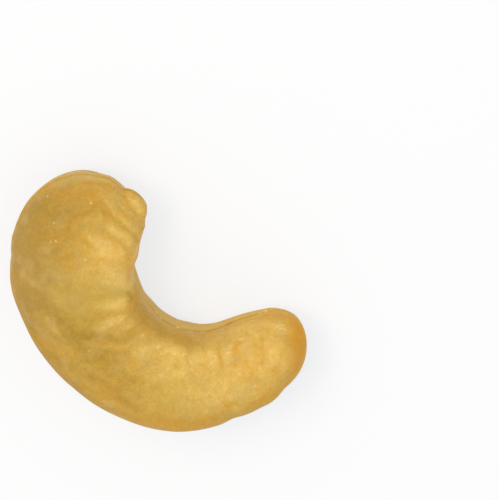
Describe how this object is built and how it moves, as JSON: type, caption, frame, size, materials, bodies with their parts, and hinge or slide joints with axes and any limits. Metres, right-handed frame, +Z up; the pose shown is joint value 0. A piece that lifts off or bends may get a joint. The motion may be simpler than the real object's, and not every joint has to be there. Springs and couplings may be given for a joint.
{
  "type": "roasted cashew nut",
  "caption": "Whole roasted cashew kernel: a kidney-shaped nut, thick at one end, with a seam round its edge, a root-tip nub and an open bay.",
  "frame": {"origin": "on the surface that the kernel lies on, under the middle of its bounding box", "axes": "+X along the kernel's long way, from the thick end with the root tip to the slender end; +Y towards the mouth of the bay between the two ends; +Z up, across the thickness, from the lower seed leaf to the upper one"},
  "size_m": [0.0262, 0.0172, 0.0108],
  "materials": {
    "kernel": "waxy golden tan, faintly oily"
  },
  "bodies": {
    "root": {"kernel": "kernel"}
  },
  "joints": []
}
